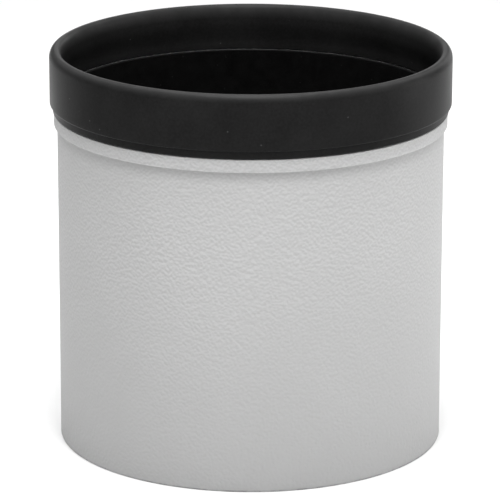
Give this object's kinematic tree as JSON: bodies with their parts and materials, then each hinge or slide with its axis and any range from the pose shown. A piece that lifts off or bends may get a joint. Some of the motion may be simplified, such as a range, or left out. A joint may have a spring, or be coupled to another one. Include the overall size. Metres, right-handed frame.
{
  "type": "telephoto lens hood",
  "caption": "Round slip-on lens hood: painted metal tube, thick rubber front ring, black felt lining, and a rear lens seat clamped by a knob.",
  "frame": {"origin": "centre of the hood's rear end, on the tube's axis", "axes": "+Z along the tube's axis to the rubber front ring; +Y out through the clamp knob"},
  "size_m": [0.1692, 0.1881, 0.1685],
  "materials": {
    "paint": "fine wrinkle paint, light grey, semi-matt",
    "rubber": "matt black moulded rubber",
    "felt": "black flocked felt",
    "anodised": "satin black anodised",
    "steel": "turned steel",
    "brass": "turned brass",
    "knob_plastic": "moulded black plastic",
    "nylon": "natural nylon"
  },
  "bodies": {
    "hood": {"barrel_tube": "paint", "front_band": "paint", "bumper_ring": "rubber", "felt_lining": "felt", "rear_collar": "anodised", "seat_felt_1": "felt", "seat_felt_2": "felt", "seat_felt_3": "felt", "knob_saddle": "anodised", "saddle_screw_1": "steel", "saddle_screw_2": "steel", "threaded_bush": "brass"},
    "shoe": {"clamp_shoe": "steel", "shoe_pad": "felt", "guide_pin_1": "steel", "guide_pin_2": "steel"},
    "knob": {"lock_screw": "steel", "retaining_clip": "steel", "knob_washer": "nylon", "knob_insert": "brass", "cross_pin": "steel", "knob_body": "knob_plastic", "knob_cap": "knob_plastic"}
  },
  "joints": [
    {"name": "shoe_travel", "type": "slide", "parent": "hood", "child": "shoe", "axis": [0, -1, 0], "range_m": [0, 0.0016]},
    {"name": "knob_turn", "type": "hinge", "parent": "shoe", "child": "knob", "pos_m": [0, 0, 0.014], "axis": [0, -1, 0], "range_deg": [0, 720]}
  ],
  "couplings": [
    {"joint": "knob_turn", "follows": "shoe_travel", "rad_per_m": 7854}
  ]
}
